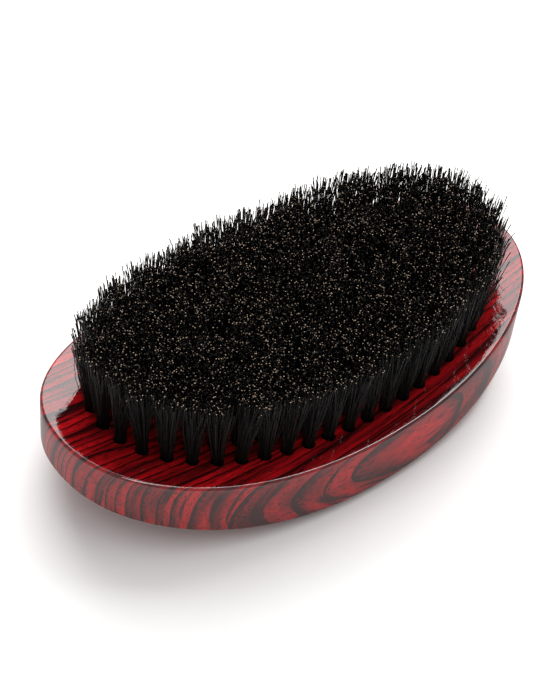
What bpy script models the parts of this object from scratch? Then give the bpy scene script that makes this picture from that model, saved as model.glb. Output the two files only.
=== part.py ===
"""Oval palm beard brush: a curved hardwood block with tufts of boar bristle in blind holes.

Frame: metres, +Z up. The brush lies on its palm side with the bristles up. The origin is the
middle of the surface it rests on, +X is the block's length and +Y is its width.
"""

import math

import bmesh
import bpy
import numpy as np
from mathutils import Matrix, Vector

# Driving dimensions of the block
BLOCK_LENGTH = 0.125
BLOCK_WIDTH = 0.067
OVAL_POWER = 2.17  # shape of the oval: 2 is an ellipse, more is squarer
SIDE_WALL = 0.0154  # height of the side at mid-length, from the rim to the palm edge
FACE_RISE = 0.0081  # how far the ends of the bristle face stand above its middle
PALM_RISE = 0.0118  # how far the ends of the palm edge stand above its middle
PALM_CROWN = 0.0024  # how far the palm side bulges below its own edge
LAND_LENGTH = 0.028  # length of the flat land that the brush rests on
RIM_ROUND = 0.0007  # radius of the edge round the bristle face
PALM_ROUND = 0.0010  # radius of the edge round the palm side

# Driving dimensions of the tufts and their holes
HOLE_DIAMETER = 0.0030
HOLE_DEPTH = 0.0080
END_MARGIN = 0.0111  # from the end of the block to the first hole's centre
SIDE_MARGIN = 0.0073  # from the side of the block to the first hole's centre
EDGE_TUFTS = 48  # tufts in the outermost ring
RINGS = 5  # concentric rings of tufts, around a row down the middle
BRISTLE_LENGTH = 0.0172  # from the face to the cut tips
SPLAY_START = 0.0070  # height above the face at which the tufts of a ring meet
WAIST = 0.0020  # height above the face up to which a tuft stays as tight as in its hole
FIT_GAP = 0.0003  # between a tuft and the wall or floor of its hole
SPLAY_GAP = 0.0005  # between the splayed tops of separate tufts and rings
MIDDLE_CLEARANCE = 0.85  # least room beside a middle tuft, as a share of the ring spacing

# How finely round shapes are divided
OUTLINE_SIDES = 52
EDGE_STEPS = 2
FACE_STEPS = 4
EDGE_TUFT_SIDES = 8
INNER_TUFT_SIDES = 6
OVAL_SAMPLES = 2880  # points round an oval at which its length is measured
SHARP_ANGLE = math.radians(35)  # edges that bend more than this stay crisp

# Sizes that follow from the driving dimensions
HALF_LENGTH = BLOCK_LENGTH / 2
HALF_WIDTH = BLOCK_WIDTH / 2
FACE_CURVE = FACE_RISE / HALF_LENGTH**2
PALM_CURVE = PALM_RISE / HALF_LENGTH**2
LAND_DEPTH = PALM_CURVE * (LAND_LENGTH / 2) ** 2
PALM_EDGE = PALM_CROWN - LAND_DEPTH
FACE_MIDDLE = PALM_EDGE + SIDE_WALL
FIELD_LENGTH = HALF_LENGTH - END_MARGIN
FIELD_WIDTH = HALF_WIDTH - SIDE_MARGIN
RING_SPACING = FIELD_WIDTH / RINGS
BAND_WIDTH = RING_SPACING - SPLAY_GAP
ROOT_RADIUS = HOLE_DIAMETER / 2 - FIT_GAP


def face_height(x):
    """Height of the bristle face at a distance x along the block."""
    return FACE_MIDDLE + FACE_CURVE * x * x


def palm_edge_height(x):
    """Height of the palm side's edge at a distance x along the block."""
    return PALM_EDGE + PALM_CURVE * x * x


def oval_point(angle, half_length, half_width):
    """The point of the oval at an angle, as x and y."""
    cosine, sine = math.cos(angle), math.sin(angle)
    x = half_length * math.copysign(abs(cosine) ** (2 / OVAL_POWER), cosine)
    y = half_width * math.copysign(abs(sine) ** (2 / OVAL_POWER), sine)
    return x, y


def even_angles(half_length, half_width, count):
    """Angles of count points at even distances around the oval, and their distance apart."""
    fine = np.linspace(0, 2 * math.pi, OVAL_SAMPLES + 1)
    points = np.array([oval_point(angle, half_length, half_width) for angle in fine])
    steps = np.hypot(*np.diff(points, axis=0).T)
    travelled = np.concatenate([[0.0], np.cumsum(steps)])
    stops = np.arange(count) * travelled[-1] / count
    return np.interp(stops, travelled, fine), travelled[-1] / count


OUTLINE_ANGLES, OUTLINE_STEP = even_angles(HALF_LENGTH, HALF_WIDTH, OUTLINE_SIDES)


def ring_size(ring):
    """Half length and half width of a ring's centre line; ring 0 is the outermost."""
    inward = ring * RING_SPACING
    return FIELD_LENGTH - inward, FIELD_WIDTH - inward


def ring_places(ring):
    """Centre and turn about Z of each tuft of a ring, and the distance between tufts."""
    half_length, half_width = ring_size(ring)
    _, edge_pitch = even_angles(FIELD_LENGTH, FIELD_WIDTH, EDGE_TUFTS)
    _, round_trip = even_angles(half_length, half_width, 1)
    count = round(round_trip / edge_pitch)
    angles, pitch = even_angles(half_length, half_width, count)
    small_step = 1e-4
    places = []
    for angle in angles:
        x, y = oval_point(angle, half_length, half_width)
        ahead_x, ahead_y = oval_point(angle + small_step, half_length, half_width)
        places.append((x, y, math.atan2(ahead_y - y, ahead_x - x)))
    return places, pitch


def middle_places():
    """Centre and turn of each tuft of the middle row, which stops where its ring closes in."""
    half_length, _ = ring_size(RINGS - 1)
    _, pitch = ring_places(0)
    reach = half_length * (1 - MIDDLE_CLEARANCE**OVAL_POWER) ** (1 / OVAL_POWER)
    each_side = int(reach / pitch)
    return [(step * pitch, 0.0, 0.0) for step in range(-each_side, each_side + 1)]


def add_skin(bm, loops, closed_round=False):
    """Skin a list of point loops, highest first, and join the last to the first if asked."""
    rings = [[bm.verts.new(point) for point in loop] for loop in loops]
    count = len(rings[0])
    following = rings[1:] + ([rings[0]] if closed_round else [])
    for upper, lower in zip(rings, following):
        for i in range(count):
            j = (i + 1) % count
            bm.faces.new((upper[i], lower[i], lower[j], upper[j]))
    return rings


def add_fan(bm, ring, centre):
    """Close the end of a curved skin with triangles that meet at its centre."""
    middle = bm.verts.new(centre)
    for i, vert in enumerate(ring):
        bm.faces.new((middle, vert, ring[(i + 1) % len(ring)]))


def make_mesh(name, bm):
    """Turn a bmesh into a triangulated mesh with its faces outwards."""
    bmesh.ops.recalc_face_normals(bm, faces=bm.faces[:])
    bmesh.ops.triangulate(bm, faces=bm.faces[:])
    mesh = bpy.data.meshes.new(name)
    bm.to_mesh(mesh)
    bm.free()
    mesh.shade_smooth()
    mesh.set_sharp_from_angle(angle=SHARP_ANGLE)
    return mesh


def make_object(name, mesh, material, parent, location=(0, 0, 0), turn=0.0):
    """Place a mesh in the scene under the brush's empty."""
    made = bpy.data.objects.new(name, mesh)
    bpy.context.scene.collection.objects.link(made)
    made.parent = parent
    made.location = location
    made.rotation_euler = (0, 0, turn)
    if material and not mesh.materials:
        mesh.materials.append(material)
    return made


def make_material(name, colour, roughness, coat=0.0):
    """A plain Principled material."""
    material = bpy.data.materials.new(name)
    material.use_nodes = True
    shader = material.node_tree.nodes["Principled BSDF"]
    shader.inputs["Base Color"].default_value = (*colour, 1)
    shader.inputs["Roughness"].default_value = roughness
    shader.inputs["Metallic"].default_value = 0.0
    shader.inputs["Coat Weight"].default_value = coat
    return material


def add_boolean(target, operand, operation):
    """Cut or join the operand, which then serves only as a guide."""
    boolean = target.modifiers.new(operation.lower(), "BOOLEAN")
    boolean.operation = operation
    boolean.solver = "EXACT"
    boolean.object = operand
    operand.hide_render = True
    operand.display_type = "WIRE"


def outline_loop(inset, height_at, scale=1.0):
    """The block's outline, drawn in by an inset and scaled, at the height of each point."""
    loop = []
    for angle in OUTLINE_ANGLES:
        x, y = oval_point(angle, HALF_LENGTH - inset, HALF_WIDTH - inset)
        x, y = x * scale, y * scale
        loop.append((x, y, height_at(x)))
    return loop


def rounded_edge(radius, height_at, direction):
    """Loops of a quarter round; direction is -1 for an upper edge and 1 for a lower one."""
    loops = []
    for step in range(EDGE_STEPS + 1):
        lean = math.pi / 2 * step / EDGE_STEPS
        inset = radius * (1 - math.cos(lean))
        drop = direction * radius * (1 - math.sin(lean))
        loops.append(outline_loop(inset, lambda x, drop=drop: height_at(x) + drop))
    return loops


def block_mesh():
    """The bare block: a concave face, an upright side and a crowned palm with a flat land."""
    face_scales = [step / FACE_STEPS for step in range(1, FACE_STEPS)]
    loops = [outline_loop(RIM_ROUND, face_height, scale) for scale in face_scales]
    loops += reversed(rounded_edge(RIM_ROUND, face_height, -1))
    loops += rounded_edge(PALM_ROUND, palm_edge_height, 1)
    for scale in reversed(face_scales):
        crown = PALM_CROWN * (1 - scale**2)
        loops.append(
            outline_loop(PALM_ROUND, lambda x, crown=crown: palm_edge_height(x) - crown, scale)
        )
    bm = bmesh.new()
    rings = add_skin(bm, loops)
    add_fan(bm, rings[0], (0, 0, FACE_MIDDLE))
    add_fan(bm, rings[-1], (0, 0, -LAND_DEPTH))
    cut = bmesh.ops.bisect_plane(
        bm,
        geom=bm.verts[:] + bm.edges[:] + bm.faces[:],
        plane_co=(0, 0, 0),
        plane_no=(0, 0, 1),
        clear_inner=True,
    )
    land_edges = [part for part in cut["geom_cut"] if isinstance(part, bmesh.types.BMEdge)]
    bmesh.ops.edgeloop_fill(bm, edges=land_edges)
    return make_mesh("block", bm)


def hole_cutter_mesh():
    """One prism for each tuft hole, from its floor to clear above the face."""
    groups = [(ring_places(0)[0], EDGE_TUFT_SIDES)]
    groups += [(ring_places(ring)[0], INNER_TUFT_SIDES) for ring in range(1, RINGS)]
    groups.append((middle_places(), INNER_TUFT_SIDES))
    above = HOLE_DIAMETER
    quarter = math.pi / 2  # a cone's first corner is on +Y, a tuft's on +X
    bm = bmesh.new()
    for places, sides in groups:
        for x, y, turn in places:
            middle = face_height(x) + (above - HOLE_DEPTH) / 2
            bmesh.ops.create_cone(
                bm,
                cap_ends=True,
                segments=sides,
                radius1=HOLE_DIAMETER / 2,
                radius2=HOLE_DIAMETER / 2,
                depth=HOLE_DEPTH + above,
                matrix=Matrix.Translation((x, y, middle)) @ Matrix.Rotation(turn + quarter, 4, "Z"),
            )
    return make_mesh("hole_cutter", bm)


def add_turned(bm, profile, sides, matrix):
    """Add a closed turned shape from a profile of radius and height, lowest point first."""
    loops = []
    for radius, height in reversed(profile):
        turns = [2 * math.pi * i / sides for i in range(sides)]
        loops.append([
            matrix @ Vector((radius * math.cos(turn), radius * math.sin(turn), height))
            for turn in turns
        ])
    rings = add_skin(bm, loops)
    bm.faces.new(rings[0])
    bm.faces.new(rings[-1])


def build_edge_tufts(material, parent):
    """The outermost ring: every tuft is its own piece, and they share one mesh."""
    places, pitch = ring_places(0)
    top_radius = (min(pitch, RING_SPACING) - SPLAY_GAP) / 2
    profile = [
        (ROOT_RADIUS, FIT_GAP - HOLE_DEPTH),
        (ROOT_RADIUS, WAIST),
        (top_radius, BRISTLE_LENGTH),
    ]
    bm = bmesh.new()
    add_turned(bm, profile, EDGE_TUFT_SIDES, Matrix.Identity(4))
    mesh = make_mesh("edge_tuft", bm)
    for number, (x, y, turn) in enumerate(places, start=1):
        name = f"edge_tuft_{number:02d}"
        make_object(name, mesh, material, parent, (x, y, face_height(x)), turn)


def band_mesh(name, half_length, half_width, is_ring):
    """The merged, splayed tops of tufts: a band that follows the face, round a ring or a row."""
    def band_loop(offset, height):
        loop = []
        for angle in OUTLINE_ANGLES:
            x, y = oval_point(angle, half_length + offset, half_width + offset)
            loop.append((x, y, face_height(x) + height))
        return loop

    reach = BAND_WIDTH / 2
    bm = bmesh.new()
    outer = [band_loop(reach, BRISTLE_LENGTH), band_loop(reach, SPLAY_START)]
    if is_ring:
        inner = [band_loop(-reach, SPLAY_START), band_loop(-reach, BRISTLE_LENGTH)]
        add_skin(bm, outer + inner, closed_round=True)
    else:
        rings = add_skin(bm, outer)
        add_fan(bm, rings[0], (0, 0, FACE_MIDDLE + BRISTLE_LENGTH))
        add_fan(bm, rings[1], (0, 0, FACE_MIDDLE + SPLAY_START))
    return make_mesh(name, bm)


def stems_mesh(name, places):
    """The parallel lower halves of a ring's tufts, from their holes into the band above."""
    profile = [
        (ROOT_RADIUS, FIT_GAP - HOLE_DEPTH),
        (ROOT_RADIUS, (SPLAY_START + BRISTLE_LENGTH) / 2),
    ]
    bm = bmesh.new()
    for x, y, turn in places:
        place = Matrix.Translation((x, y, face_height(x))) @ Matrix.Rotation(turn, 4, "Z")
        add_turned(bm, profile, INNER_TUFT_SIDES, place)
    return make_mesh(name, bm)


def build_inner_tufts(material, parent):
    """The inner rings and the middle row: one piece each, its tufts merged at their tops."""
    groups = []
    for ring in range(1, RINGS):
        groups.append((f"tuft_ring_{ring + 1}", *ring_size(ring), ring_places(ring)[0], True))
    middle_length = ring_size(RINGS - 1)[0] - RING_SPACING
    groups.append(("tuft_row_middle", middle_length, 0.0, middle_places(), False))
    for name, half_length, half_width, places, is_ring in groups:
        band_shape = band_mesh(name, half_length, half_width, is_ring)
        band = make_object(name, band_shape, material, parent)
        stems_name = f"{name}_stems"
        stems = make_object(stems_name, stems_mesh(stems_name, places), material, parent)
        add_boolean(band, stems, "UNION")


def build_block(material, parent):
    """The wooden block with a blind hole for every tuft."""
    block = make_object("block", block_mesh(), material, parent)
    cutter = make_object("hole_cutter", hole_cutter_mesh(), None, parent)
    add_boolean(block, cutter, "DIFFERENCE")


def main():
    """Empty the scene and build the brush in it."""
    for old in list(bpy.data.objects):
        bpy.data.objects.remove(old)
    brush = bpy.data.objects.new("brush", None)
    bpy.context.scene.collection.objects.link(brush)
    lacquered_wood = make_material("lacquered_wood", (0.19, 0.012, 0.014), 0.12, coat=1.0)
    boar_bristle = make_material("boar_bristle", (0.006, 0.005, 0.004), 0.45)
    build_block(lacquered_wood, brush)
    build_edge_tufts(boar_bristle, brush)
    build_inner_tufts(boar_bristle, brush)


main()
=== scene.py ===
"""Looks of the oval palm beard brush: lacquered zebra-grained wood and dyed boar bristle.

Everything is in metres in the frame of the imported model: +X is the block's length, +Y its width
and +Z points from the palm side to the bristle tips. The brush rests on the plane Z = 0.
"""

import logging
import math
from dataclasses import dataclass
from enum import Enum
from typing import Any, Callable, Sequence

import bmesh
import bpy
import numpy as np
from mathutils import Matrix, Vector


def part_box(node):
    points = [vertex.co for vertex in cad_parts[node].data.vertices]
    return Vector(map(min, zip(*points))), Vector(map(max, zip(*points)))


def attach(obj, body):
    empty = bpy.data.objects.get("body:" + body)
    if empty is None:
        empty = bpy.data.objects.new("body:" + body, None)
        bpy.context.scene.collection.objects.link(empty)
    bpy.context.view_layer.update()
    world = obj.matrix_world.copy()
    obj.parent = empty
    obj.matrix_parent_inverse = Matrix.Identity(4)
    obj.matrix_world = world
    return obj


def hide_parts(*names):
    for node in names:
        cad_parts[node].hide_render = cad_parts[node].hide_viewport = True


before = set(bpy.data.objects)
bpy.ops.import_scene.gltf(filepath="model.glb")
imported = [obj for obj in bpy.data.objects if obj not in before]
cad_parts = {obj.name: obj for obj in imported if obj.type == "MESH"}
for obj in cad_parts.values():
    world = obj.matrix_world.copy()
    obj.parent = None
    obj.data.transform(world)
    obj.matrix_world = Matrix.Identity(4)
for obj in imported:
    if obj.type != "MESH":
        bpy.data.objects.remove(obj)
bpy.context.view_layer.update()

LOG = logging.getLogger("beard_brush")
MM = 0.001
BODY = "root"
GOLDEN_ANGLE = math.pi * (3 - math.sqrt(5))

Size = tuple[float, float, float]  # in millimetres: along, across and through the grain


class Slot(Enum):
    """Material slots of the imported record."""

    WOOD = "lacquered_wood"
    BRISTLE = "boar_bristle"


# ---------------------------------------------------------------------------------------------
# Colours and nodes
# ---------------------------------------------------------------------------------------------


def linear(code: str) -> tuple[float, float, float, float]:
    """Turn an sRGB hex colour into the linear values that shaders take.

    Args:
        code: Six hex digits, such as "a01018".

    Returns:
        Linear red, green and blue, and an alpha of 1.
    """
    channels = [int(code[i : i + 2], 16) / 255 for i in (0, 2, 4)]
    return (*(c / 12.92 if c <= 0.04045 else ((c + 0.055) / 1.055) ** 2.4 for c in channels), 1.0)


def add_node(
    tree: bpy.types.NodeTree,
    kind: str,
    settings: dict[str, Any] | None = None,
    inputs: dict[str | int, Any] | None = None,
) -> bpy.types.Node:
    """Add a node with its settings, its values and its links.

    Args:
        tree: The node tree that the node goes in.
        kind: The node's type, such as "ShaderNodeTexNoise".
        settings: Properties of the node and their values.
        inputs: For each input socket, a value or the output socket to link to it.

    Returns:
        The new node.
    """
    node = tree.nodes.new(kind)
    for name, value in (settings or {}).items():
        setattr(node, name, value)
    for name, value in (inputs or {}).items():
        if isinstance(value, bpy.types.NodeSocket):
            tree.links.new(value, node.inputs[name])
        else:
            node.inputs[name].default_value = value
    return node


def set_ramp(node: bpy.types.Node, stops: Sequence[tuple[float, str]]) -> None:
    """Give a colour ramp its stops.

    Args:
        node: The Color Ramp node.
        stops: Each stop's position and its sRGB hex colour, in rising order.
    """
    elements = node.color_ramp.elements
    while len(elements) < len(stops):
        elements.new(1.0)
    for element, (position, code) in zip(elements, stops):
        element.position = position
        element.color = linear(code)


def new_material(name: str) -> tuple[bpy.types.Material, bpy.types.NodeTree, bpy.types.Node]:
    """Make a material with only a Principled shader and its output.

    Args:
        name: The material's name.

    Returns:
        The material, its node tree and its Principled node.
    """
    material = bpy.data.materials.new(name)
    material.use_nodes = True
    tree = material.node_tree
    tree.nodes.clear()
    shader = add_node(tree, "ShaderNodeBsdfPrincipled")
    add_node(tree, "ShaderNodeOutputMaterial", inputs={"Surface": shader.outputs["BSDF"]})
    return material, tree, shader


# ---------------------------------------------------------------------------------------------
# Finishes
# ---------------------------------------------------------------------------------------------


@dataclass(frozen=True)
class Darkening:
    """A darker colour, laid where the value of a pattern is high."""

    start: float  # the value at which it begins
    full: float
    colour: str
    strength: float  # its share where it is full


@dataclass(frozen=True)
class LacqueredZebrawood:
    """Straight-grained hardwood dyed red, with near-black growth lines, under clear gloss lacquer.

    Each growth line is sharp on one side and fades out on the other. The lines wander a little
    along the grain, so they turn into hooks where the side wall cuts them. The lacquer is hard and
    almost level, so it mirrors what stands round it with edges that the grain makes ragged.
    """

    grain_turn: float = math.radians(5)  # from the block's length towards its width
    middle_height: float = 14.0 * MM  # where the growth lines stand out furthest sideways
    bow_per_mm: float = 0.0009  # turns the grain further, the nearer it is to the right end
    lean: float = 0.16  # of the growth lines, from upright
    curl_per_mm: float = 0.018  # bends the growth lines between face and palm
    sway_mm: float = 10.0  # how far the lines wander from side to side
    sway_size: Size = (70.0, 70.0, 40.0)
    ripple_mm: float = 1.3
    ripple_size: Size = (20.0, 14.0, 12.0)
    line_gap_mm: float = 2.3  # from one growth line to the next, before they are crowded
    crowding_lines: float = 5.0  # how many lines aside the crowding moves them at most
    crowding_size: Size = (110.0, 9.0, 70.0)
    crowding_roughness: float = 0.35
    reds: tuple[tuple[float, str], ...] = (
        (0.33, "b31118"), (0.50, "900d13"), (0.62, "62090e"), (0.74, "2e0507")
    )
    red_size: Size = (50.0, 1.7, 14.0)
    red_detail: float = 2.0
    fibre_size: Size = (8.0, 0.24, 0.6)
    fibre_dark: Darkening = Darkening(0.42, 0.80, "4a0a0d", 0.8)
    ragged: float = 0.42  # how much the fibres fray the growth lines
    line_shade: Darkening = Darkening(0.66, 1.14, "2a0708", 0.7)
    line_core: Darkening = Darkening(1.0, 1.1, "170506", 0.75)
    streak_size: Size = (34.0, 0.9, 12.0)
    streak_dark: Darkening = Darkening(0.60, 0.69, "1e0608", 0.85)
    pore_size: Size = (2.6, 0.3, 0.5)
    pore_detail: float = 0.0
    pore_dark: Darkening = Darkening(0.66, 0.76, "190608", 0.7)
    wood_roughness: float = 0.5
    lacquer_cover: float = 0.36  # a thin share of a strong reflector: few glancing reflections
    lacquer_ior: float = 2.35
    lacquer_roughness: float = 0.06
    relief_mm: float = 0.02  # how far the grain still shows in the lacquer's surface
    relief_size: Size = (5.0, 0.9, 2.5)

    def noise(
        self,
        tree: bpy.types.NodeTree,
        vector: bpy.types.NodeSocket,
        size: Size,
        detail: float = 1.0,
        roughness: float = 0.5,
    ) -> bpy.types.Node:
        """Noise whose spots have a set size along, across and through the grain.

        Args:
            tree: The material's node tree.
            vector: Position in millimetres, with the grain along X.
            size: Size of a spot along each axis.
            detail: Octaves of the noise.
            roughness: How strong the finer octaves are.

        Returns:
            The noise node.
        """
        scale = tuple(1 / length for length in size)
        placed = add_node(tree, "ShaderNodeMapping", inputs={"Vector": vector, "Scale": scale})
        return add_node(
            tree,
            "ShaderNodeTexNoise",
            inputs={"Vector": placed.outputs[0], "Scale": 1.0, "Detail": detail, "Roughness": roughness},
        )

    def pushed(
        self, tree: bpy.types.NodeTree, vector: bpy.types.NodeSocket, size: Size, reach_mm: float
    ) -> bpy.types.NodeSocket:
        """Push positions across the grain by a soft noise, so that straight lines wander.

        Args:
            tree: The material's node tree.
            vector: Position in millimetres.
            size: Size of the noise's spots.
            reach_mm: The full width of the push.

        Returns:
            The pushed position.
        """
        noise = self.noise(tree, vector, size)
        centred = add_node(
            tree,
            "ShaderNodeVectorMath",
            {"operation": "SUBTRACT"},
            {0: noise.outputs["Color"], 1: (0.5, 0.5, 0.5)},
        )
        moved = add_node(
            tree,
            "ShaderNodeVectorMath",
            {"operation": "MULTIPLY_ADD"},
            {0: centred.outputs[0], 1: (0.0, reach_mm, reach_mm), 2: vector},
        )
        return moved.outputs[0]

    def darkened(
        self,
        tree: bpy.types.NodeTree,
        colour: bpy.types.NodeSocket,
        value: bpy.types.NodeSocket,
        dark: Darkening,
    ) -> bpy.types.NodeSocket:
        """Lay a darker colour where a value is high.

        Args:
            tree: The material's node tree.
            colour: The colour so far.
            value: The value.
            dark: The darker colour, and the values at which it begins and is full.

        Returns:
            The new colour.
        """
        eased = add_node(
            tree,
            "ShaderNodeMapRange",
            {"interpolation_type": "SMOOTHSTEP"},
            {"Value": value, "From Min": dark.start, "From Max": dark.full, "To Max": dark.strength},
        )
        mix = add_node(
            tree,
            "ShaderNodeMix",
            {"data_type": "RGBA"},
            {0: eased.outputs[0], 6: colour, 7: linear(dark.colour)},
        )
        return mix.outputs[2]

    def straightened(self, tree: bpy.types.NodeTree) -> bpy.types.NodeSocket:
        """Find positions in the board, with the grain's turn, bow, sway and ripple taken out.

        Args:
            tree: The material's node tree.

        Returns:
            Position in millimetres, with the grain along X and the growth lines across Y.
        """
        place = add_node(tree, "ShaderNodeTexCoord").outputs["Object"]
        grain = add_node(
            tree,
            "ShaderNodeMapping",
            {"vector_type": "TEXTURE"},
            {
                "Vector": place,
                "Location": (0.0, 0.0, self.middle_height),
                "Rotation": (0.0, 0.0, self.grain_turn),
                "Scale": (MM, MM, MM),
            },
        ).outputs[0]
        slope = add_node(
            tree,
            "ShaderNodeVectorMath",
            {"operation": "MULTIPLY_ADD"},
            {0: grain, 1: (-self.bow_per_mm, 0.0, self.curl_per_mm), 2: (0.0, 0.0, self.lean)},
        )
        bend = add_node(
            tree, "ShaderNodeVectorMath", {"operation": "DOT_PRODUCT"}, {0: slope.outputs[0], 1: grain}
        )
        bowed = add_node(
            tree,
            "ShaderNodeVectorMath",
            {"operation": "MULTIPLY_ADD"},
            {0: bend.outputs["Value"], 1: (0.0, 1.0, 0.0), 2: grain},
        ).outputs[0]
        swayed = self.pushed(tree, bowed, self.sway_size, self.sway_mm)
        return self.pushed(tree, swayed, self.ripple_size, self.ripple_mm)

    def growth(
        self, tree: bpy.types.NodeTree, board: bpy.types.NodeSocket
    ) -> bpy.types.NodeSocket:
        """Find how far along a point is from one growth line to the next.

        Args:
            tree: The material's node tree.
            board: Position in the board, in millimetres.

        Returns:
            0 just past a growth line, rising to 1 at the next one.
        """
        crowding = self.noise(
            tree, board, self.crowding_size, roughness=self.crowding_roughness
        )
        across = add_node(tree, "ShaderNodeSeparateXYZ", inputs={0: board}).outputs["Y"]
        even = add_node(
            tree, "ShaderNodeMath", {"operation": "DIVIDE"}, {0: across, 1: self.line_gap_mm}
        ).outputs[0]
        counted = add_node(
            tree,
            "ShaderNodeMath",
            {"operation": "MULTIPLY_ADD"},
            {0: crowding.outputs["Fac"], 1: self.crowding_lines, 2: even},
        ).outputs[0]
        return add_node(tree, "ShaderNodeMath", {"operation": "FRACT"}, {0: counted}).outputs[0]

    def material(self) -> bpy.types.Material:
        """Build the material.

        Returns:
            The finished material.
        """
        material, tree, shader = new_material("lacquered_zebrawood")
        board = self.straightened(tree)
        growth = self.growth(tree, board)
        tone = self.noise(tree, board, self.red_size, self.red_detail).outputs["Fac"]
        ramp = add_node(tree, "ShaderNodeValToRGB", inputs={"Fac": tone})
        set_ramp(ramp, self.reds)
        fibres = self.noise(tree, board, self.fibre_size).outputs["Fac"]
        frayed = add_node(
            tree, "ShaderNodeMath", {"operation": "MULTIPLY_ADD"}, {0: fibres, 1: self.ragged, 2: growth}
        ).outputs[0]
        streaks = self.noise(tree, board, self.streak_size).outputs["Fac"]
        pores = self.noise(tree, board, self.pore_size, self.pore_detail).outputs["Fac"]
        colour = ramp.outputs["Color"]
        for value, dark in (
            (fibres, self.fibre_dark),
            (frayed, self.line_shade),
            (frayed, self.line_core),
            (streaks, self.streak_dark),
            (pores, self.pore_dark),
        ):
            colour = self.darkened(tree, colour, value, dark)
        tree.links.new(colour, shader.inputs["Base Color"])
        relief = self.noise(tree, board, self.relief_size).outputs["Fac"]
        bump = add_node(
            tree,
            "ShaderNodeBump",
            inputs={"Strength": 1.0, "Distance": self.relief_mm * MM, "Height": relief},
        )
        tree.links.new(bump.outputs[0], shader.inputs["Coat Normal"])
        shader.inputs["Roughness"].default_value = self.wood_roughness
        shader.inputs["Specular IOR Level"].default_value = 0.0
        shader.inputs["Coat Weight"].default_value = self.lacquer_cover
        shader.inputs["Coat IOR"].default_value = self.lacquer_ior
        shader.inputs["Coat Roughness"].default_value = self.lacquer_roughness
        return material


@dataclass(frozen=True)
class BoarBristle:
    """Boar bristle dyed black: keratin with a satin sheen, a little browner in some hairs."""

    dark: str = "050404"
    light: str = "0f0d0b"
    roughness: float = 0.5
    ior: float = 1.33

    def material(self) -> bpy.types.Material:
        """Build the material.

        Returns:
            The finished material.
        """
        material, tree, shader = new_material("dyed_boar_bristle")
        shade = add_node(tree, "ShaderNodeAttribute", {"attribute_name": "shade"})
        colour = add_node(
            tree,
            "ShaderNodeMix",
            {"data_type": "RGBA"},
            {0: shade.outputs["Fac"], 6: linear(self.dark), 7: linear(self.light)},
        )
        tree.links.new(colour.outputs[2], shader.inputs["Base Color"])
        shader.inputs["Roughness"].default_value = self.roughness
        shader.inputs["IOR"].default_value = self.ior
        return material


@dataclass(frozen=True)
class CutBristleTip:
    """The trimmed end of a bristle: the dye stops at the skin, so the cut shows pale keratin."""

    dark: str = "120e0c"
    middle: str = "5c5148"
    light: str = "bba48e"
    roughness: float = 0.8
    specular: float = 0.15
    dull_share: float = 0.63  # of the tips: those that show hardly any cut
    middle_share: float = 0.80

    def material(self) -> bpy.types.Material:
        """Build the material.

        Returns:
            The finished material.
        """
        material, tree, shader = new_material("cut_bristle_tip")
        shade = add_node(tree, "ShaderNodeAttribute", {"attribute_name": "shade"})
        ramp = add_node(tree, "ShaderNodeValToRGB", inputs={"Fac": shade.outputs["Fac"]})
        stops = [(0.0, self.dark), (self.dull_share, self.dark), (self.middle_share, self.middle)]
        set_ramp(ramp, stops + [(1.0, self.light)])
        tree.links.new(ramp.outputs["Color"], shader.inputs["Base Color"])
        shader.inputs["Roughness"].default_value = self.roughness
        shader.inputs["Specular IOR Level"].default_value = self.specular
        return material


@dataclass(frozen=True)
class AnchorWire:
    """Flat drawn nickel silver, as staple-set brushes use: a soft metal shine in patches."""

    colour: str = "b8b2a4"
    roughness: float = 0.32
    unevenness: float = 0.08
    mark_size: float = 0.2 * MM  # coarser than the real drawing marks, so that they show

    def material(self) -> bpy.types.Material:
        """Build the material.

        Returns:
            The finished material.
        """
        material, tree, shader = new_material("drawn_anchor_wire")
        place = add_node(tree, "ShaderNodeTexCoord").outputs["Object"]
        drawn = add_node(
            tree, "ShaderNodeTexNoise", inputs={"Vector": place, "Scale": 1 / self.mark_size}
        )
        rough = add_node(
            tree,
            "ShaderNodeMapRange",
            inputs={
                "Value": drawn.outputs["Fac"],
                "To Min": self.roughness - self.unevenness,
                "To Max": self.roughness + self.unevenness,
            },
        )
        tree.links.new(rough.outputs[0], shader.inputs["Roughness"])
        shader.inputs["Base Color"].default_value = linear(self.colour)
        shader.inputs["Metallic"].default_value = 1.0
        return material


@dataclass(frozen=True)
class StudioPaper:
    """Uncoated white background paper: even and matt, so it only takes soft shadows."""

    colour: str = "f9f9f8"
    roughness: float = 0.9
    specular: float = 0.1

    def material(self) -> bpy.types.Material:
        """Build the material.

        Returns:
            The finished material.
        """
        material, _, shader = new_material("studio_paper")
        shader.inputs["Base Color"].default_value = linear(self.colour)
        shader.inputs["Roughness"].default_value = self.roughness
        shader.inputs["Specular IOR Level"].default_value = self.specular
        return material


# ---------------------------------------------------------------------------------------------
# Form
# ---------------------------------------------------------------------------------------------


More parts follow.
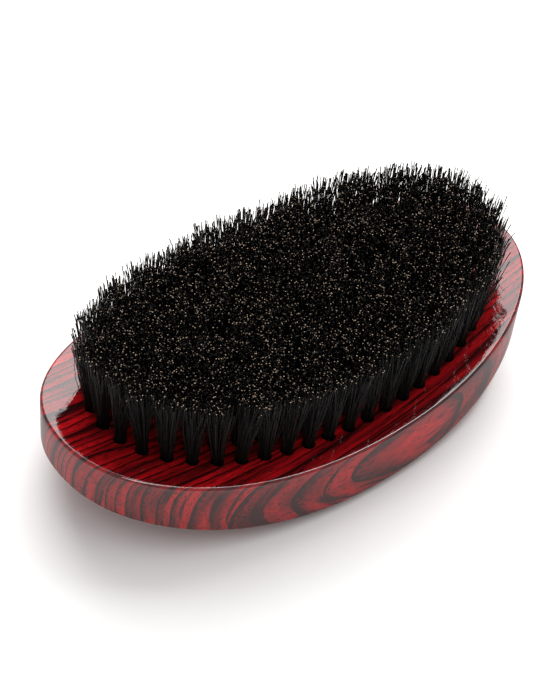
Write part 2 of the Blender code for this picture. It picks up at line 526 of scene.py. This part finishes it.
@dataclass(frozen=True)
class BrushForm:
    """Sizes that the block and the tufts share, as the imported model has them."""

    half_length: float
    half_width: float
    oval_power: float = 2.17  # 2 would be an ellipse
    side_wall: float = 15.4 * MM  # height of the side at half length
    face_rise: float = 8.1 * MM  # from the face's middle to its ends
    palm_rise: float = 11.8 * MM
    palm_crown: float = 2.4 * MM  # how far the palm side bulges below its edge
    land_length: float = 28.0 * MM  # of the flat that the brush rests on
    rim_round: float = 0.8 * MM
    palm_round: float = 1.0 * MM
    hole_diameter: float = 3.0 * MM
    hole_depth: float = 8.0 * MM
    end_margin: float = 11.1 * MM  # from the block's end to the outermost tuft's centre
    side_margin: float = 7.3 * MM
    edge_tufts: int = 48
    rings: int = 5
    middle_clearance: float = 0.85  # share of the last ring's width that the middle row needs
    bristle_length: float = 17.2 * MM
    oval_samples: int = 2880

    @property
    def palm_curve(self) -> float:
        """How fast the palm side rises with the square of the distance from the middle."""
        return self.palm_rise / self.half_length**2

    @property
    def land_depth(self) -> float:
        """How deep the flat land is cut into the palm side."""
        return self.palm_curve * (self.land_length / 2) ** 2

    @property
    def ring_spacing(self) -> float:
        """Distance between one ring of tufts and the next."""
        return (self.half_width - self.side_margin) / self.rings

    def palm_edge_height(self, x: float) -> float:
        """Height of the palm side's edge at x."""
        return self.palm_crown - self.land_depth + self.palm_curve * x * x

    def face_height(self, x: float) -> float:
        """Height of the bristle face at x."""
        middle = self.palm_edge_height(0.0) + self.side_wall
        return middle + self.face_rise * (x / self.half_length) ** 2

    def oval_point(self, angle: float, half_length: float, half_width: float) -> tuple[float, float]:
        """The point of the oval at an angle.

        Args:
            angle: The oval's own angle, in radians.
            half_length: Half the oval's length.
            half_width: Half the oval's width.

        Returns:
            The point's x and y.
        """
        cosine, sine = math.cos(angle), math.sin(angle)
        x = half_length * math.copysign(abs(cosine) ** (2 / self.oval_power), cosine)
        y = half_width * math.copysign(abs(sine) ** (2 / self.oval_power), sine)
        return x, y

    def share_out(self, x: float, y: float) -> float:
        """Find how far out a point is.

        Args:
            x: Distance along the block.
            y: Distance across the block.

        Returns:
            0 in the middle, rising to 1 at the outline.
        """
        along = (abs(x) / self.half_length) ** self.oval_power
        across = (abs(y) / self.half_width) ** self.oval_power
        return (along + across) ** (1 / self.oval_power)

    def even_angles(
        self, half_length: float, half_width: float, count: int
    ) -> tuple[np.ndarray, float]:
        """Angles of points at even distances round an oval.

        Args:
            half_length: Half the oval's length.
            half_width: Half the oval's width.
            count: How many points.

        Returns:
            The angles, and the distance from each point to the next.
        """
        fine = np.linspace(0, 2 * math.pi, self.oval_samples + 1)
        points = np.array([self.oval_point(angle, half_length, half_width) for angle in fine])
        steps = np.hypot(*np.diff(points, axis=0).T)
        travelled = np.concatenate([[0.0], np.cumsum(steps)])
        stops = np.arange(count) * travelled[-1] / count
        return np.interp(stops, travelled, fine), travelled[-1] / count

    def tuft_rows(self) -> list[list[tuple[float, float]]]:
        """Centres of the tuft holes.

        Returns:
            A list of x and y for each ring, outermost first, and last for the middle row.
        """
        length, width = self.half_length - self.end_margin, self.half_width - self.side_margin
        _, pitch = self.even_angles(length, width, self.edge_tufts)
        rows = []
        for ring in range(self.rings):
            inward = ring * self.ring_spacing
            _, trip = self.even_angles(length - inward, width - inward, 1)
            angles, _ = self.even_angles(length - inward, width - inward, round(trip / pitch))
            rows.append([self.oval_point(angle, length - inward, width - inward) for angle in angles])
        innermost = length - (self.rings - 1) * self.ring_spacing
        power = self.oval_power
        reach = innermost * (1 - self.middle_clearance**power) ** (1 / power)
        each_side = int(reach / pitch)
        rows.append([(step * pitch, 0.0) for step in range(-each_side, each_side + 1)])
        return rows


def finish_piece(
    name: str,
    mesh: bpy.types.Mesh,
    materials: Sequence[bpy.types.Material],
    replaces: Sequence[str] = (),
) -> bpy.types.Object:
    """Put a mesh in the scene as a piece of the brush.

    Args:
        name: The piece's name.
        mesh: Its mesh, in place.
        materials: Its materials, in the order of the mesh's material numbers.
        replaces: The CAD nodes that it stands for.

    Returns:
        The new object.
    """
    for material in materials:
        mesh.materials.append(material)
    piece = bpy.data.objects.new(name, mesh)
    bpy.context.scene.collection.objects.link(piece)
    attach(piece, BODY)
    if replaces:
        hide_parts(*replaces)
    return piece


def bmesh_to_mesh(name: str, bm: bmesh.types.BMesh) -> bpy.types.Mesh:
    """Turn a bmesh into a mesh and free it.

    Args:
        name: The mesh's name.
        bm: The bmesh.

    Returns:
        The new mesh.
    """
    mesh = bpy.data.meshes.new(name)
    bm.to_mesh(mesh)
    bm.free()
    return mesh


# ---------------------------------------------------------------------------------------------
# The block
# ---------------------------------------------------------------------------------------------


@dataclass
class Block:
    """The wooden block: concave face, upright side, crowned palm side and blind tuft holes."""

    form: BrushForm
    finish: LacqueredZebrawood
    sides: int = 288
    wall_steps: int = 5
    cap_steps: int = 22
    rim_segments: int = 5
    palm_segments: int = 6
    hole_sides: int = 16
    hole_chamfer: float = 0.12 * MM
    drill_rise: float = 2.0 * MM
    weld_distance: float = 0.001 * MM
    sharp_angle: float = math.radians(38)

    def grow(
        self, bm: bmesh.types.BMesh, edges: list[bmesh.types.BMEdge], change: Callable[[list], None]
    ) -> list[bmesh.types.BMEdge]:
        """Extrude a loop of edges and move the new loop.

        Args:
            bm: The bmesh.
            edges: The loop that is extruded.
            change: Moves the new loop's vertices.

        Returns:
            The new loop.
        """
        grown = bmesh.ops.extrude_edge_only(bm, edges=edges)["geom"]
        change([part for part in grown if isinstance(part, bmesh.types.BMVert)])
        return [part for part in grown if isinstance(part, bmesh.types.BMEdge)]

    def cap(self, bm: bmesh.types.BMesh, edges: list[bmesh.types.BMEdge]) -> None:
        """Close an oval opening with rings that shrink to its middle.

        Args:
            bm: The bmesh.
            edges: The opening's edges.
        """
        for step in range(self.cap_steps - 1):
            left = self.cap_steps - step
            shrink = (left - 1) / left
            edges = self.grow(
                bm, edges, lambda verts, k=shrink: bmesh.ops.scale(bm, vec=(k, k, 1), verts=verts)
            )
        closed = bmesh.ops.edgeloop_fill(bm, edges=edges)["faces"]
        bmesh.ops.poke(bm, faces=closed)

    def stand_up(self, bm: bmesh.types.BMesh) -> None:
        """Give each vertex its height.

        Args:
            bm: A model whose z is 1 on the face, 0 on the palm side and in between on the wall.
        """
        form = self.form
        for vert in bm.verts:
            x, y, level = vert.co
            edge = form.palm_edge_height(x)
            vert.co.z = edge + level * (form.face_height(x) - edge)
            if level == 0:
                vert.co.z -= form.palm_crown * (1 - form.share_out(x, y) ** 2)

    def round_edge(
        self, bm: bmesh.types.BMesh, edges: list[bmesh.types.BMEdge], radius: float, segments: int
    ) -> None:
        """Round a loop of edges over.

        Args:
            bm: The bmesh.
            edges: The loop.
            radius: How far in from the edge the rounding starts.
            segments: Faces across the rounding.
        """
        bmesh.ops.bevel(
            bm,
            geom=edges,
            offset=radius,
            offset_type="OFFSET",
            segments=segments,
            profile=0.5,
            affect="EDGES",
            clamp_overlap=True,
            material=-1,
        )

    def body_mesh(self) -> bpy.types.Mesh:
        """Model the block without its holes.

        Returns:
            The block's mesh.
        """
        form = self.form
        bm = bmesh.new()
        rim = bmesh.ops.create_circle(bm, cap_ends=False, segments=self.sides, radius=1.0)["verts"]
        for vert in rim:
            angle = math.atan2(vert.co.y, vert.co.x)
            vert.co = (*form.oval_point(angle, form.half_length, form.half_width), 1.0)
        rim_edges = bm.edges[:]
        lower = rim_edges
        drop = Vector((0, 0, -1 / self.wall_steps))
        for _ in range(self.wall_steps):
            lower = self.grow(
                bm, lower, lambda verts: bmesh.ops.translate(bm, vec=drop, verts=verts)
            )
        for edge in lower:
            for vert in edge.verts:
                vert.co.z = 0.0
        self.cap(bm, lower)
        self.cap(bm, rim_edges)
        self.stand_up(bm)
        self.round_edge(bm, rim_edges, form.rim_round, self.rim_segments)
        self.round_edge(bm, lower, form.palm_round, self.palm_segments)
        cut = bmesh.ops.bisect_plane(
            bm,
            geom=bm.verts[:] + bm.edges[:] + bm.faces[:],
            plane_co=(0, 0, 0),
            plane_no=(0, 0, 1),
            clear_inner=True,
        )
        land = [part for part in cut["geom_cut"] if isinstance(part, bmesh.types.BMEdge)]
        bmesh.ops.edgeloop_fill(bm, edges=land)
        bmesh.ops.recalc_face_normals(bm, faces=bm.faces[:])
        return bmesh_to_mesh("block_wood", bm)

    def drill_mesh(self) -> bpy.types.Mesh:
        """Model what the drill takes out: a cylinder with a small chamfer for each tuft.

        Returns:
            The mesh of all the cutters.
        """
        form = self.form
        radius = form.hole_diameter / 2
        wide = radius + self.hole_chamfer
        outline = [
            (0.0, -form.hole_depth),
            (radius, -form.hole_depth),
            (radius, -self.hole_chamfer),
            (wide, 0.0),
            (wide, self.drill_rise),
            (0.0, self.drill_rise),
        ]
        bit = bmesh.new()
        verts = [bit.verts.new((r, 0.0, z)) for r, z in outline]
        edges = [bit.edges.new(pair) for pair in zip(verts, verts[1:])]
        bmesh.ops.spin(
            bit,
            geom=verts + edges,
            axis=(0, 0, 1),
            cent=(0, 0, 0),
            angle=math.tau,
            steps=self.hole_sides,
            use_merge=True,
        )
        bmesh.ops.remove_doubles(bit, verts=bit.verts[:], dist=self.weld_distance)
        bmesh.ops.recalc_face_normals(bit, faces=bit.faces[:])
        bit_mesh = bmesh_to_mesh("drill_bit", bit)
        bm = bmesh.new()
        for x, y in (place for row in form.tuft_rows() for place in row):
            bit_mesh.transform(Matrix.Translation((x, y, form.face_height(x))))
            bm.from_mesh(bit_mesh)
            bit_mesh.transform(Matrix.Translation((-x, -y, -form.face_height(x))))
        return bmesh_to_mesh("drill", bm)

    def build(self) -> bpy.types.Object:
        """Drill the block and dress it.

        Returns:
            The block's object.
        """
        scene = bpy.context.scene
        blank = bpy.data.objects.new("block_blank", self.body_mesh())
        drill = bpy.data.objects.new("drill", self.drill_mesh())
        for helper in (blank, drill):
            scene.collection.objects.link(helper)
        boolean = blank.modifiers.new("drilled", "BOOLEAN")
        boolean.operation = "DIFFERENCE"
        boolean.solver = "EXACT"
        boolean.object = drill
        ready = blank.evaluated_get(bpy.context.evaluated_depsgraph_get())
        mesh = bpy.data.meshes.new_from_object(ready)
        for helper in (blank, drill):
            bpy.data.objects.remove(helper)
        mesh.name = "block_wood"
        mesh.materials.clear()
        mesh.shade_smooth()
        mesh.set_sharp_from_angle(angle=self.sharp_angle)
        return finish_piece("block_wood", mesh, [self.finish.material()], ["block"])


# ---------------------------------------------------------------------------------------------
# Bristles
# ---------------------------------------------------------------------------------------------


@dataclass(frozen=True)
class Bristle:
    """One bristle: its spine from root to cut tip, its radius at each point, and its shade."""

    spine: list[Vector]
    radii: list[float]
    turn: float
    shade: float


@dataclass
class Bristles:
    """The tufts: bundles of single bristles, tight in their holes and splayed at their tips."""

    form: BrushForm
    skin: BoarBristle
    cut: CutBristleTip
    seed: int = 20
    bristles_per_tuft: int = 96
    root_radius: float = 1.2 * MM
    splay_radius: float = 3.1 * MM
    strand_radius: float = 0.078 * MM
    tip_radius: float = 0.135 * MM
    collar: float = 0.12 * MM
    levels: tuple[float, ...] = (-0.42, 0.02, 0.25, 0.48, 0.73)  # shares of the free length
    strand_sides: int = 3
    uneven: float = 0.28 * MM
    short_share: float = 0.08  # of the bristles, cut below the rest
    shortfall: float = 1.4 * MM
    turn_scatter: float = 0.25
    tip_scatter: float = 0.5 * MM
    stray_share: float = 0.06  # of the bristles, standing off their tuft
    stray_scatter: float = 1.3 * MM
    flare: float = 1.3  # the higher, the later a bristle spreads
    bend: float = 0.38 * MM
    thinnest: float = 0.8
    thickest: float = 1.15
    tuft_lean: float = 0.5 * MM
    outward_lean: float = 0.15 * MM
    cut_number: int = 1  # the cut tips' place among a piece's materials

    def bristle(
        self, number: int, root: Vector, lean: Vector, random: np.random.Generator
    ) -> Bristle:
        """Lay out one bristle of a tuft.

        Args:
            number: Its number in the tuft; the first ones are in the middle.
            root: The middle of the tuft, on the face of the block.
            lean: How far the tuft's tips stand off its hole, in x and y.
            random: The source of its irregularities.

        Returns:
            The bristle.
        """
        form = self.form
        share = math.sqrt((number + 0.5) / self.bristles_per_tuft)
        angle = number * GOLDEN_ANGLE + random.normal(0, self.turn_scatter)
        out = Vector((math.cos(angle), math.sin(angle), 0)) * share
        scatter = self.stray_scatter if random.random() < self.stray_share else self.tip_scatter
        jitter = Vector((*random.normal(0, scatter, 2), 0))
        foot = root + out * self.root_radius
        tip = root + lean + out * self.splay_radius + jitter
        height = form.bristle_length + random.normal(0, self.uneven)
        if random.random() < self.short_share:
            height -= abs(random.normal(0, self.shortfall))
        tip.z = form.face_height(tip.x) + height
        bend = Vector((*random.normal(0, self.bend, 2), 0))
        spine = []
        for level in self.levels:
            way = max(level, 0.0)
            point = foot.lerp(tip, way**self.flare)
            point.z = root.z + (tip.z - root.z) * level
            spine.append(point + bend * math.sin(math.pi * way))
        spine += [tip - (tip - spine[-1]).normalized() * self.collar, tip]
        thick = random.uniform(self.thinnest, self.thickest)
        radii = [self.strand_radius * thick] * len(self.levels) + [self.tip_radius * thick] * 2
        return Bristle(spine, radii, random.uniform(0, math.pi), random.random())

    def tuft(
        self, centre: tuple[float, float], lean: Vector, random: np.random.Generator
    ) -> bpy.types.Mesh:
        """Model one tuft by extruding all its bristles together, one level after another.

        Args:
            centre: The hole's x and y.
            lean: How far the tips stand off the hole, in x and y.
            random: The source of its irregularities.

        Returns:
            The tuft's mesh.
        """
        root = Vector((*centre, self.form.face_height(centre[0])))
        bristles = [
            self.bristle(number, root, lean, random) for number in range(self.bristles_per_tuft)
        ]
        bm = bmesh.new()
        owner = bm.verts.layers.int.new("bristle")
        shade = bm.verts.layers.float.new("shade")
        for number, bristle in enumerate(bristles):
            start = Matrix.Translation(bristle.spine[0]) @ Matrix.Rotation(bristle.turn, 4, "Z")
            ring = bmesh.ops.create_circle(
                bm, cap_ends=False, segments=self.strand_sides, radius=bristle.radii[0], matrix=start
            )["verts"]
            for vert in ring:
                vert[owner] = number
                vert[shade] = bristle.shade
        edges = bm.edges[:]
        for level in range(1, len(self.levels) + 2):
            grown = bmesh.ops.extrude_edge_only(bm, edges=edges)["geom"]
            edges = [part for part in grown if isinstance(part, bmesh.types.BMEdge)]
            for vert in (part for part in grown if isinstance(part, bmesh.types.BMVert)):
                bristle = bristles[vert[owner]]
                radial = (vert.co - bristle.spine[level - 1]) / bristle.radii[level - 1]
                vert.co = bristle.spine[level] + radial * bristle.radii[level]
        caps = bmesh.ops.edgeloop_fill(bm, edges=edges)["faces"]
        collars = {face for edge in edges for face in edge.link_faces}
        for face in collars.union(caps):
            face.material_index = self.cut_number
        for face in set(bm.faces).difference(caps):
            face.smooth = True
        bm.verts.layers.int.remove(owner)
        bmesh.ops.recalc_face_normals(bm, faces=bm.faces[:])
        return bmesh_to_mesh("tuft", bm)

    def lean_at(self, x: float, y: float, outer: bool, random: np.random.Generator) -> Vector:
        """Choose how far a tuft's tips stand off its hole: a little at random, and a touch outwards.

        Args:
            x: The hole's place along the block.
            y: The hole's place across the block.
            outer: Whether it is in the edge ring, whose tufts lean outwards.
            random: The source of its irregularities.

        Returns:
            The lean, level with the ground.
        """
        lean = Vector((*random.normal(0, self.tuft_lean, 2), 0))
        if outer:
            lean += Vector((x, y, 0)).normalized() * self.outward_lean
        return lean

    def build(self) -> list[bpy.types.Object]:
        """Model every ring as a piece.

        Returns:
            The pieces, outermost ring first.
        """
        random = np.random.default_rng(self.seed)
        materials = [self.skin.material(), self.cut.material()]
        rows = self.form.tuft_rows()
        edge_nodes = [f"edge_tuft_{i + 1:02d}" for i in range(len(rows[0]))]
        inner_nodes = [[f"tuft_ring_{ring + 1}"] for ring in range(1, self.form.rings)]
        nodes = [edge_nodes, *inner_nodes, ["tuft_row_middle"]]
        names = ["edge_ring_bristles"]
        names += [f"ring_{ring + 1}_bristles" for ring in range(1, self.form.rings)]
        names.append("middle_row_bristles")
        pieces = []
        for name, row, replaced in zip(names, rows, nodes):
            bm = bmesh.new()
            for x, y in row:
                tuft = self.tuft((x, y), self.lean_at(x, y, row is rows[0], random), random)
                bm.from_mesh(tuft)
                bpy.data.meshes.remove(tuft)
            mesh = bmesh_to_mesh(name, bm)
            pieces.append(finish_piece(name, mesh, materials, replaced))
        return pieces


@dataclass
class Anchors:
    """The flat wire anchors that hold each tuft, driven into the wood at the holes' floors."""

    form: BrushForm
    finish: AnchorWire
    seed: int = 7
    length: float = 3.4 * MM
    height: float = 1.6 * MM
    thickness: float = 0.25 * MM
    lift: float = 0.5 * MM

    def build(self) -> bpy.types.Object:
        """Model all the anchors as one piece.

        Returns:
            The anchors' object.
        """
        random = np.random.default_rng(self.seed)
        size = Matrix.Diagonal((self.length, self.thickness, self.height, 1.0))
        bm = bmesh.new()
        for x, y in (place for row in self.form.tuft_rows() for place in row):
            middle = self.form.face_height(x) - self.form.hole_depth + self.lift
            turn = Matrix.Rotation(random.uniform(0, math.pi), 4, "Z")
            place = Matrix.Translation((x, y, middle)) @ turn @ size
            bmesh.ops.create_cube(bm, size=1.0, matrix=place)
        mesh = bmesh_to_mesh("tuft_anchors", bm)
        return finish_piece("tuft_anchors", mesh, [self.finish.material()])


# ---------------------------------------------------------------------------------------------
# The studio
# ---------------------------------------------------------------------------------------------


@dataclass(frozen=True)
class Softbox:
    """A rectangular area light that points at the brush."""

    name: str
    direction: tuple[float, float, float]
    distance: float
    size: tuple[float, float]
    watts: float


@dataclass
class Studio:
    """White paper, soft light and the camera."""

    form: BrushForm
    paper: StudioPaper
    floor_side: float = 8.0
    sky: str = "ffffff"
    sky_strength: float = 0.50
    softboxes: tuple[Softbox, ...] = (
        Softbox("back_softbox", (0.42, 0.54, 0.72), 1.0, (1.05, 0.95), 14.5),
        Softbox("top_strip", (0.12, -0.20, 0.95), 0.95, (1.3, 0.17), 3.6),
    )
    azimuth: float = math.radians(-43.4)
    elevation: float = math.radians(45.0)
    roll: float = math.radians(7.0)
    distance: float = 0.375
    focal: float = 86.7
    shift: tuple[float, float] = (-0.026, 0.003)
    near_clip: float = 0.01

    def build_floor(self) -> None:
        """Lay the paper under the brush."""
        bm = bmesh.new()
        bmesh.ops.create_grid(bm, x_segments=1, y_segments=1, size=self.floor_side / 2)
        mesh = bmesh_to_mesh("floor", bm)
        mesh.materials.append(self.paper.material())
        floor = bpy.data.objects.new("floor", mesh)
        bpy.context.scene.collection.objects.link(floor)

    def build_lights(self) -> None:
        """Hang the softboxes in an even, bright room."""
        scene = bpy.context.scene
        world = bpy.data.worlds.new("studio")
        world.use_nodes = True
        sky = world.node_tree.nodes["Background"]
        sky.inputs["Color"].default_value = linear(self.sky)
        sky.inputs["Strength"].default_value = self.sky_strength
        scene.world = world
        target = Vector((0, 0, self.form.face_height(0)))
        for box in self.softboxes:
            light = bpy.data.lights.new(box.name, "AREA")
            light.shape = "RECTANGLE"
            light.size, light.size_y = box.size
            light.energy = box.watts
            lamp = bpy.data.objects.new(box.name, light)
            scene.collection.objects.link(lamp)
            away = Vector(box.direction).normalized()
            lamp.location = target + away * box.distance
            lamp.rotation_euler = away.to_track_quat("Z", "Y").to_euler()

    def build_camera(self) -> None:
        """Set up the camera, looking down on the brush across its left end."""
        scene = bpy.context.scene
        level = math.cos(self.elevation)
        back = Vector((
            math.sin(self.azimuth) * level,
            -math.cos(self.azimuth) * level,
            math.sin(self.elevation),
        ))
        right = Vector((math.cos(self.azimuth), math.sin(self.azimuth), 0))
        up = back.cross(right)
        cosine, sine = math.cos(self.roll), math.sin(self.roll)
        rolled_right = right * cosine + up * sine
        rolled_up = up * cosine - right * sine
        turned = Matrix((rolled_right, rolled_up, back)).transposed().to_4x4()
        data = bpy.data.cameras.new("camera")
        data.lens = self.focal
        data.shift_x, data.shift_y = self.shift
        data.clip_start = self.near_clip
        camera = bpy.data.objects.new("camera", data)
        scene.collection.objects.link(camera)
        target = Vector((0, 0, self.form.face_height(0)))
        camera.matrix_world = Matrix.Translation(target + back * self.distance) @ turned
        scene.camera = camera

    def build(self) -> None:
        """Build the whole studio."""
        self.build_floor()
        self.build_lights()
        self.build_camera()
        bpy.context.scene.view_settings.view_transform = "Standard"


def main() -> None:
    """Build the brush and its studio."""
    logging.basicConfig(level=logging.INFO, format="%(message)s")
    low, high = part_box("block")
    form = BrushForm(half_length=(high[0] - low[0]) / 2, half_width=(high[1] - low[1]) / 2)
    Studio(form, StudioPaper()).build()
    pieces = [
        Block(form, LacqueredZebrawood()).build(),
        *Bristles(form, BoarBristle(), CutBristleTip()).build(),
        Anchors(form, AnchorWire()).build(),
    ]
    for piece in pieces:
        mesh = piece.data
        LOG.info("%s: %d vertices, %d faces", piece.name, len(mesh.vertices), len(mesh.polygons))


if __name__ == "__main__":
    main()
